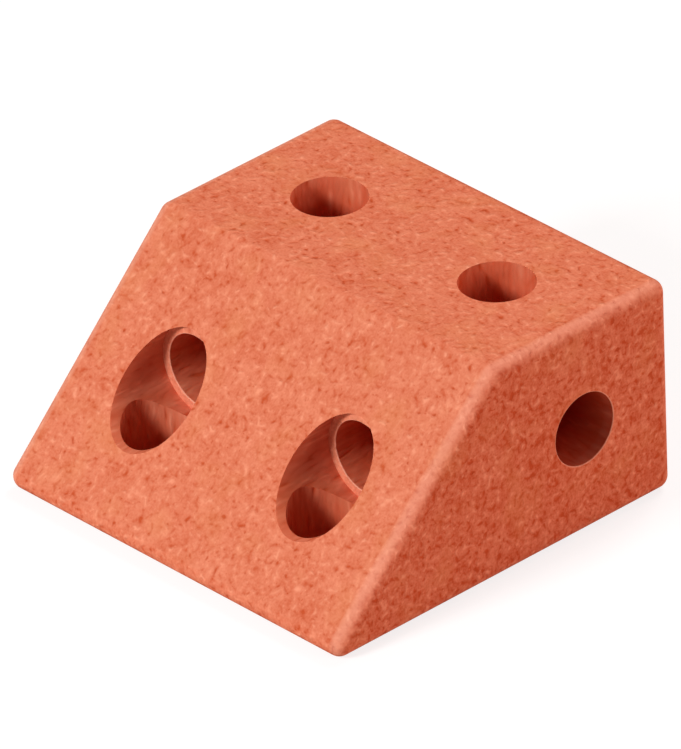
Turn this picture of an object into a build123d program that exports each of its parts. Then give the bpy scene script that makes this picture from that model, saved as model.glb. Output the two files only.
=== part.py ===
from build123d import *
import os

# A corner block cast in one piece of through-coloured concrete, made to build with on a cube grid.
# The back half is a square bar two cubes long; the front half slopes from its top edge down to the floor.
# Every cube is bored through its middle. The bores from the back come out of the slope in a wider seat,
# whose flat floor takes a bolt head or a nut, and a plain bore from the bottom runs up into each seat.
# +X runs along the block, +Y points to its back, and the origin is under its middle, on the floor.

# Outside sizes, in millimetres, with the depth measured to the sharp corner that the nose is rounded from
length = 200.0
depth = 200.0
height = 100.0
top_depth = 100.0
arris_radius = 6.0

# Bores and seats: the seat's floor lies that far behind the highest point of its lip in the slope
bore_spacing = 100.0
bore_diameter = 33.0
seat_diameter = 41.0
seat_lip_depth = 1.2

# Levels and planes that the bores share with the outside
back_face = depth / 2
front_edge = -depth / 2
slope_top = back_face - top_depth
back_row = (back_face + slope_top) / 2
front_row = (slope_top + front_edge) / 2
bore_level = height / 2
seat_lip = front_edge + (slope_top - front_edge) * (bore_level + seat_diameter / 2) / height
seat_floor = seat_lip + seat_lip_depth
columns = (-bore_spacing / 2, bore_spacing / 2)
reach = length + depth + height


def cast_body():
    """The block without its holes: a right trapezium drawn out along X, with every arris rounded."""
    profile = Polyline(
        (front_edge, 0), (back_face, 0), (back_face, height), (slope_top, height), close=True
    )
    section = Plane.YZ.offset(-length / 2) * make_face(profile)
    block = extrude(section, amount=length)
    return fillet(block.edges(), arris_radius)


def bore(start, direction, diameter, long):
    """A round cutter of that diameter, which begins at start and runs along direction."""
    return Plane(origin=start, z_dir=direction) * Cylinder(
        diameter / 2, long, align=(Align.CENTER, Align.CENTER, Align.MIN)
    )


def bored(block):
    """The block with its bores and bolt seats cut."""
    cutters = [bore((-reach / 2, back_row, bore_level), (1, 0, 0), bore_diameter, reach)]
    for x in columns:
        cutters.append(bore((x, back_row, -reach / 2), (0, 0, 1), bore_diameter, reach))
        cutters.append(bore((x, back_face + reach, bore_level), (0, -1, 0), bore_diameter, 2 * reach))
        cutters.append(bore((x, front_row, -reach / 2), (0, 0, 1), bore_diameter, reach))
        cutters.append(bore((x, seat_floor, bore_level), (0, -1, 0), seat_diameter, reach))
    return block - cutters


block = bored(cast_body())
os.makedirs("parts", exist_ok=True)
export_step(block, "parts/corner_block.step")
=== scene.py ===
from math import cos, pi, radians, sin, sqrt

import bmesh
import bpy
from mathutils import Matrix, Vector


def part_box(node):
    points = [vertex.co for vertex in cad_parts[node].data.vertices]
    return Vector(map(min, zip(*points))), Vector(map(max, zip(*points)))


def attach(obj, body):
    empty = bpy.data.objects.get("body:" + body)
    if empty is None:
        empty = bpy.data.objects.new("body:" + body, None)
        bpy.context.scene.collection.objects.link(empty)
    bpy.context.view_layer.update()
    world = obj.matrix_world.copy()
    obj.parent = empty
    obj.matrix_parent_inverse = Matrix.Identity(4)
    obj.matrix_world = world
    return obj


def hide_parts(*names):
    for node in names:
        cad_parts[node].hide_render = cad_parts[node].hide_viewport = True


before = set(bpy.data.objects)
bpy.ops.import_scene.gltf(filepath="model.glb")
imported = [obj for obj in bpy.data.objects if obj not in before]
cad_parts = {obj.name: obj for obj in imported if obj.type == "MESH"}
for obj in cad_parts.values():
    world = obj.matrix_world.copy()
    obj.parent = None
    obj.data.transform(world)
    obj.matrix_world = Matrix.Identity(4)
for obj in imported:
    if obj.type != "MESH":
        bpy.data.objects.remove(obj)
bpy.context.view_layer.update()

# The block: one casting of through-coloured concrete, made to build with on a cube grid. The mould gives it
# a square bar at the back, a slope in front and a soft arris all round; straight steel cores leave a bore
# through the middle of every cube, and a wider flat-bottomed seat where a bore comes out of the slope.
low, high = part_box("corner_block")
cube = high.z
half_length = high.x
back_face = high.y
arris = 0.006
arris_facets = 16

# the casting before its cores: the skin over eight balls, one in each corner of the mould
flat_within = radians(0.1)
bpy.ops.object.select_all(action="DESELECT")
corners = (
    (back_face - arris, arris),
    (back_face - arris, cube - arris),
    (arris * (sqrt(2) - 1), cube - arris),
    (low.y + arris, arris),
)
balls = []
for side in (-1, 1):
    for y, z in corners:
        bpy.ops.mesh.primitive_uv_sphere_add(
            segments=4 * arris_facets, ring_count=2 * arris_facets, radius=arris,
            location=(side * (half_length - arris), y, z),
        )
        balls.append(bpy.context.object)
for ball in balls:
    ball.select_set(True)
bpy.ops.object.join()
block = bpy.context.object
block.name = "cast_block"
block.data.name = "cast_block"
bpy.ops.object.transform_apply(location=True, rotation=True, scale=True)
bpy.ops.object.mode_set(mode="EDIT")
bpy.ops.mesh.select_all(action="SELECT")
bpy.ops.mesh.convex_hull(join_triangles=True)
bpy.ops.mesh.select_all(action="SELECT")
bpy.ops.mesh.dissolve_limited(angle_limit=flat_within)
bpy.ops.object.mode_set(mode="OBJECT")

# the cores: the middle of one mouth, the way from it, the radius, the length, and how far a core stands out
bore_radius = 0.0165
seat_radius = 0.0205
seat_floor = -0.0283
columns = (-cube / 2, cube / 2)
back_row, front_row, bore_level = cube / 2, -cube / 2, cube / 2
core_facets = 128
over = 0.02
cores = [((-half_length, back_row, bore_level), (1, 0, 0), bore_radius, 2 * half_length, over)]
for x in columns:
    cores.append(((x, back_row, 0), (0, 0, 1), bore_radius, cube, over))
    cores.append(((x, back_face, bore_level), (0, -1, 0), bore_radius, back_face - seat_floor, over))
    cores.append(((x, front_row, 0), (0, 0, 1), bore_radius, bore_level - seat_radius, over))
    cores.append(((x, seat_floor, bore_level), (0, -1, 0), seat_radius, cube, 0))
for start, along, radius, long, out in cores:
    bpy.ops.object.select_all(action="DESELECT")
    bpy.ops.mesh.primitive_cylinder_add(
        vertices=core_facets, radius=radius, depth=long + 2 * out,
        location=Vector(start) + Vector(along) * long / 2,
        rotation=Vector(along).to_track_quat("Z", "Y").to_euler(),
    )
    core = bpy.context.object
    bpy.context.view_layer.objects.active = block
    draw = block.modifiers.new("core", "BOOLEAN")
    draw.operation = "DIFFERENCE"
    draw.solver = "EXACT"
    draw.object = core
    bpy.ops.object.modifier_apply(modifier=draw.name)
    bpy.data.objects.remove(core)
bpy.ops.object.select_all(action="DESELECT")
block.select_set(True)

# where two walls cross: corners in one place are made one, and a hair-short edge shrinks to its middle
same_place = 0.000002
seam = 0.00005
bpy.ops.object.mode_set(mode="EDIT")
bpy.ops.mesh.select_all(action="SELECT")
bpy.ops.mesh.remove_doubles(threshold=same_place)
bpy.ops.mesh.dissolve_degenerate(threshold=seam)
bpy.ops.object.mode_set(mode="OBJECT")

# the rims: the mouths in the back, the ends and the slope, and those of the bores in the seats' floors, are
# rubbed round, and the mouths in the top and the base are left crisp
rim_round = 0.0005
rim_facets = 4
square_on = 0.9999
crisp_from = radians(30)
slope_way = Vector((0, -1, 1)).normalized()
flats = (
    (Vector((0, 1, 0)), back_face),
    (Vector((1, 0, 0)), half_length),
    (Vector((-1, 0, 0)), half_length),
    (slope_way, 0),
    (Vector((0, -1, 0)), -seat_floor),
)
bpy.ops.object.mode_set(mode="EDIT")
bpy.ops.mesh.select_mode(type="EDGE")
bpy.ops.mesh.select_all(action="DESELECT")
casting = bmesh.from_edit_mesh(block.data)
for edge in casting.edges:
    flats_beside = sum(
        face.normal.dot(way) > square_on and abs(edge.verts[0].co.dot(way) - far) < seam
        for face in edge.link_faces for way, far in flats
    )
    edge.select_set(flats_beside == 1 and edge.is_convex and edge.calc_face_angle() > crisp_from)
bmesh.update_edit_mesh(block.data)
bpy.ops.mesh.bevel(offset=rim_round, segments=rim_facets, profile=0.5, affect="EDGES", clamp_overlap=False)
bpy.ops.object.mode_set(mode="OBJECT")

# on each wall, for the marks that a core leaves and the painted shade in it: the way its core was drawn; the
# middle and half of its length, and 1 where the painted shade is as strong at the mouth as further in, as in
# the long bore and the seats
along_wall = 0.02
mesh = block.data
drawn = mesh.attributes.new("core_drawn", "FLOAT_VECTOR", "CORNER")
span = mesh.attributes.new("core_span", "FLOAT_VECTOR", "CORNER")
for face in mesh.polygons:
    for start, along, radius, long, out in cores:
        start, along = Vector(start), Vector(along)
        aside = face.center - start
        aside -= along * aside.dot(along)
        if abs(aside.length - radius) < 2 * seam and abs(face.normal.dot(along)) < along_wall:
            for loop in face.loop_indices:
                drawn.data[loop].vector = along
                span.data[loop].vector = (start.dot(along) + long / 2, long / 2, along.x) if out else (0, 0, 1)

# how pale each point is made: most of all in the middle of a rim, and a little over a seat's floor
# on the rims this paleness is partly wear and partly a painted highlight; on a seat's floor it is painted light
rim_wear_and_highlight, floor_painted_light = 1.0, 0.2
wear_and_light = mesh.attributes.new("rim_wear_and_painted_light", "FLOAT", "POINT")
rim_points = {i for face in mesh.polygons if face.select for i in face.vertices}
rim_edges = {i for face in mesh.polygons if not face.select for i in face.vertices}
floor_points = {i for face in mesh.polygons if face.normal.y < -square_on for i in face.vertices}
for i in rim_points - rim_edges:
    wear_and_light.data[i].value = rim_wear_and_highlight
for i in floor_points:
    wear_and_light.data[i].value = floor_painted_light

bpy.ops.object.shade_smooth_by_angle(angle=crisp_from)
even = block.modifiers.new("flat faces stay flat", "WEIGHTED_NORMAL")
even.keep_sharp = True
bpy.ops.object.modifier_apply(modifier=even.name)


class Grade:
    """A value or colour at each point of a material; arithmetic on it adds Math nodes to that material."""

    def __init__(self, tree, socket=None):
        self.tree, self.socket = tree, socket

    def node(self, kind, settings=(), inputs=(), out=0):
        made = self.tree.nodes.new(kind)
        for name, value in dict(settings).items():
            setattr(made, name, value)
        for name, value in dict(inputs).items():
            if isinstance(value, Grade):
                self.tree.links.new(value.socket, made.inputs[name])
            else:
                made.inputs[name].default_value = value
        return Grade(self.tree, made.outputs[out]) if made.outputs else made

    def maths(self, operation, *values):
        return self.node("ShaderNodeMath", {"operation": operation}, dict(enumerate(values)))

    def __add__(self, other):
        return self.maths("ADD", self, other)

    __radd__ = __add__

    def __sub__(self, other):
        return self.maths("SUBTRACT", self, other)

    def __rsub__(self, other):
        return self.maths("SUBTRACT", other, self)

    def __mul__(self, other):
        return self.maths("MULTIPLY", self, other)

    __rmul__ = __mul__

    def __abs__(self):
        return self.maths("ABSOLUTE", self)


concrete = bpy.data.materials.new("concrete")
concrete.use_nodes = True
tree = concrete.node_tree
shell = tree.nodes["Principled BSDF"]
mix = Grade(tree)
place = mix.node("ShaderNodeTexCoord", out="Object")
drag = mix.node("ShaderNodeAttribute", {"attribute_name": "core_drawn"}, out="Vector")
reached = mix.node("ShaderNodeAttribute", {"attribute_name": "core_span"}, out="Vector")
rim = mix.node("ShaderNodeAttribute", {"attribute_name": "rim_wear_and_painted_light"}, out="Fac")


def in_line(first, second):
    """How far the first vector reaches along the second."""
    return mix.node("ShaderNodeVectorMath", {"operation": "DOT_PRODUCT"}, {0: first, 1: second}, out="Value")


def part(vector, axis):
    """One of a vector's three numbers."""
    return mix.node("ShaderNodeSeparateXYZ", {}, {"Vector": vector}, out=axis)


def noise(where, size, detail, out="Fac"):
    """Soft noise with lumps of about that size, in metres."""
    return mix.node("ShaderNodeTexNoise", {}, {"Vector": where, "Scale": 1 / size, "Detail": detail}, out=out)


def held(value):
    """The value kept between 0 and 1."""
    return mix.node("ShaderNodeClamp", {}, {"Value": value})


def stained(colour, share, stain):
    """The colour with that share of a stain over it."""
    return mix.node("ShaderNodeMix", {"data_type": "RGBA"}, {0: share, 6: colour, 7: stain}, out=2)


run = in_line(place, drag)


def dragged(pull):
    """The place, with what lies on a wall drawn out along its core by that share."""
    back = mix.node("ShaderNodeVectorMath", {"operation": "SCALE"}, {0: drag, "Scale": run * -pull})
    return mix.node("ShaderNodeVectorMath", {"operation": "ADD"}, {0: place, 1: back})


# the marks in the mix: broad clouds, blotches, curled strokes, pale flecks, dark pits and a fine grain
wall_pull, streak_pull = 0.7, 0.94
swirl_size, swirl_reach = 0.0045, 0.0026
cloud_size, blotch_size, curl_size, grit_size, grain_size = 0.016, 0.0060, 0.0024, 0.0015, 0.0010
stroke_gain = 10
fleck_from, pit_under, speck_gain = 0.68, 0.32, 8
spot = dragged(wall_pull)
swirl = noise(spot, swirl_size, 0.0, out="Color")
swirl = mix.node(
    "ShaderNodeVectorMath", {"operation": "MULTIPLY_ADD"}, {0: swirl, 1: (swirl_reach,) * 3, 2: spot},
)
cloud = noise(spot, cloud_size, 1.0) - 0.5
blotch = noise(swirl, blotch_size, 1.0) - 0.5
curl = noise(swirl, curl_size, 0.0) - 0.5
stroke = curl * abs(curl) * stroke_gain
grit = noise(swirl, grit_size, 1.0)
grain = noise(spot, grain_size, 0.0) - 0.5
fleck = held((grit - fleck_from) * speck_gain)
pit = held((pit_under - grit) * speck_gain)

# the tone, from deep to pale: the marks are stronger on the ends and softer on the walls; the rims are paler,
# partly as wear and partly as a painted highlight, a seat's floor is a little paler as painted light, and the
# ends are darker as painted shade
wall = in_line(drag, drag)
beside = abs(part(place, "X"))
end = held((beside - half_length + arris) * (1 / arris))
wall_coarser, wall_smoother, end_stronger = 0.3, 0.7, 0.5
coarse = (1 + wall * wall_coarser) * (1 + end * end_stronger)
fine = (1 - wall * wall_smoother) * (1 + end * end_stronger)
cloud_share, blotch_share, stroke_share = 0.3, 0.55, 0.38
fleck_share, pit_share, grain_share = 0.25, 0.3, 0.35
marks = cloud * cloud_share + (blotch * blotch_share + stroke * stroke_share) * coarse
marks = marks + (fleck * fleck_share - pit * pit_share + grain * grain_share) * fine
mid_tone, rim_paler, end_painted_shade = 0.5, 0.4, 0.13
tone = held(marks + mid_tone + rim * rim_paler - end * end_painted_shade)
deep, pale = (0.60, 0.098, 0.034, 1), (0.94, 0.345, 0.205, 1)
colour = stained(deep, tone, pale)

# over it: faint ochre stains in patches; paler stone on the rims, partly laid bare by wear and partly a painted
# highlight, and a little on a seat's floor as painted light; and a painted highlight along the arrises of the
# ends
ochre, ochre_size, ochre_gain, ochre_share = (0.80, 0.31, 0.125, 1), 0.020, 4, 0.24
patch = held((noise(spot, ochre_size, 1.0) - 0.5) * ochre_gain)
colour = stained(colour, patch * ochre_share, ochre)
bare_and_highlight, rim_bare_and_highlight, arris_highlight = (0.98, 0.50, 0.36, 1), 0.5, 1.5
bared_and_highlit = rim * rim_bare_and_highlight + end * (1 - end) * arris_highlight
colour = stained(colour, bared_and_highlit, bare_and_highlight)

# the walls: painted shade, deep red and streaked along the cores, that grows further in, but is as strong at
# the mouth in the long bore and the seats; and a darker painted shade deeper inside the bores
wall_shade_red = (0.62, 0.085, 0.030, 1)
shade_within, shade_at_mouth, shade_further, streak_size, streak_share = 0.014, 0.26, 0.42, 0.0042, 1.2
middle, half, shade_to_mouth = part(reached, "X"), part(reached, "Y"), part(reached, "Z")
sunk = half - abs(run - middle)
streak = noise(dragged(streak_pull), streak_size, 1.0) - 0.5
wall_shade_share = held(sunk * (1 / shade_within) + shade_to_mouth)
wall_shade_share = held(shade_at_mouth + wall_shade_share * shade_further + streak * streak_share)
colour = stained(colour, wall * wall_shade_share, wall_shade_red)
# the darker painted shade, deep inside the bores, and starting nearer the mouth in the long bore
deep_shade_red = (0.40, 0.018, 0.004, 1)
deep_shade_from, deep_shade_nearer, deep_shade_within, deep_shade_share = 0.010, 0.012, 0.026, 0.9
deep_shade = held((sunk - deep_shade_from + shade_to_mouth * deep_shade_nearer) * (1 / deep_shade_within))
colour = stained(colour, deep_shade * deep_shade_share, deep_shade_red)

# the skin: matt all over, with a fine relief that is flatter on the walls
matt, matt_play = 0.9, 0.06
relief_depth, wall_flatter = 0.001, 0.25
blotch_rise, stroke_rise, curl_rise, grain_rise = 0.5, 0.2, 0.1, 0.12
tree.links.new(colour.socket, shell.inputs["Base Color"])
shell.inputs["Specular IOR Level"].default_value = 0.0
rough = matt - curl * matt_play
tree.links.new(rough.socket, shell.inputs["Roughness"])
height = blotch * blotch_rise + stroke * stroke_rise + curl * curl_rise + grain * grain_rise
height = height * (1 - wall * wall_flatter)
relief = mix.node("ShaderNodeBump", {}, {"Strength": 1.0, "Distance": relief_depth, "Height": height})
tree.links.new(relief.socket, shell.inputs["Normal"])
block.data.materials.append(concrete)
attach(block, "root")
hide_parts("corner_block")

# The studio floor: a plain sheet of white paper, laid a hair under the block so that their faces don't fight.
# It keeps the block's soft shadow, shows as white, and gives back a slightly warm light.
floor_reach = 3.0
floor_drop = 0.0002
bounce = (0.68, 0.57, 0.52, 1)
shade_grey = (0.28, 0.28, 0.28, 1)
shown_glow = 0.8
white = (1, 1, 1, 1)
bpy.ops.object.select_all(action="DESELECT")
bpy.ops.mesh.primitive_plane_add(size=2 * floor_reach, location=(0, 0, -floor_drop))
floor = bpy.context.object
floor.name = "studio_floor"
paper = bpy.data.materials.new("studio_paper")
paper.use_nodes = True
tree = paper.node_tree
tree.nodes.clear()
sheet = Grade(tree)


def seen_straight(grade):
    """1 for a ray by which the thing is seen, straight or in a gloss or a glass, and 0 for all other light."""
    seen = grade.node("ShaderNodeLightPath", out="Is Camera Ray")
    seen = seen + grade.node("ShaderNodeLightPath", out="Is Glossy Ray")
    return seen + grade.node("ShaderNodeLightPath", out="Is Transmission Ray")


lit = sheet.node("ShaderNodeBsdfDiffuse", {}, {"Color": bounce})
shade = sheet.node("ShaderNodeBsdfDiffuse", {}, {"Color": shade_grey})
glow = sheet.node("ShaderNodeEmission", {}, {"Color": white, "Strength": shown_glow})
looks = sheet.node("ShaderNodeAddShader", {}, {0: shade, 1: glow})
laid = sheet.node("ShaderNodeMixShader", {}, {0: seen_straight(sheet), 1: lit, 2: looks})
sheet.node("ShaderNodeOutputMaterial", {}, {"Surface": laid})
floor.data.materials.append(paper)

# The room round the studio: white where the camera sees it, and a faint warm light on the block.
# It has no walls of its own, so that the floor runs on into it.
room_light, room_level = (1, 0.84, 0.79, 1), 0.14
sky = bpy.data.worlds.new("studio")
bpy.context.scene.world = sky
sky.use_nodes = True
tree = sky.node_tree
tree.nodes.clear()
room = Grade(tree)
ambient = room.node("ShaderNodeBackground", {}, {"Color": room_light, "Strength": room_level})
backdrop = room.node("ShaderNodeBackground", {}, {"Color": white, "Strength": 1.0})
all_round = room.node("ShaderNodeMixShader", {}, {0: seen_straight(room), 1: ambient, 2: backdrop})
room.node("ShaderNodeOutputWorld", {}, {"Surface": all_round})

# The camera: a long lens from above the right front corner, held a little out of level, as in the photograph.
# It looks at a point near the middle of the block.
target = Vector((-0.004444, 0.010697, 0.05))
azimuth, elevation, roll = radians(47.554), radians(31.179), radians(-2.123)
camera_distance = 6.5
lens = 754.98
far_clip = 50
behind = Vector((sin(azimuth) * cos(elevation), -cos(azimuth) * cos(elevation), sin(elevation)))
level_right = Vector((cos(azimuth), sin(azimuth), 0))
level_up = behind.cross(level_right)
right = level_right * cos(roll) + level_up * sin(roll)
upward = level_up * cos(roll) - level_right * sin(roll)
bpy.ops.object.camera_add(location=target + behind * camera_distance)
camera = bpy.context.object
camera.rotation_euler = Matrix((right, upward, behind)).transposed().to_euler()
camera.data.lens = lens
camera.data.clip_end = far_clip
bpy.context.scene.camera = camera

# The lamps: three soft square ones round the block, with the key lamp in front, a little to the left. Those
# behind and on the right are weaker and slightly warm, as light is that comes back from the block's own colour.
lamps = (
    # name, azimuth, elevation, light level on a face turned to it, size, colour
    ("key_lamp", -7, 32, 0.78, 0.5, (1.0, 1.0, 1.0)),
    ("back_lamp", 188, 50, 0.47, 1.0, (1.0, 0.90, 0.86)),
    ("right_lamp", 104, 18, 0.36, 1.0, (1.0, 0.62, 0.54)),
)
lamp_distance = 2.2     # from there, a lamp of (pi * distance) ** 2 watts gives a level of 1
for name, around, up, level, size, tint in lamps:
    around, up = radians(around), radians(up)
    way = Vector((sin(around) * cos(up), -cos(around) * cos(up), sin(up)))
    bpy.ops.object.light_add(type="AREA", location=target + way * lamp_distance)
    lamp = bpy.context.object
    lamp.name = name
    lamp.rotation_euler = way.to_track_quat("Z", "Y").to_euler()
    lamp.data.energy = (pi * lamp_distance) ** 2 * level
    lamp.data.size = size
    lamp.data.color = tint

# Last, plain colours for the view.
bpy.context.scene.view_settings.view_transform = "Standard"
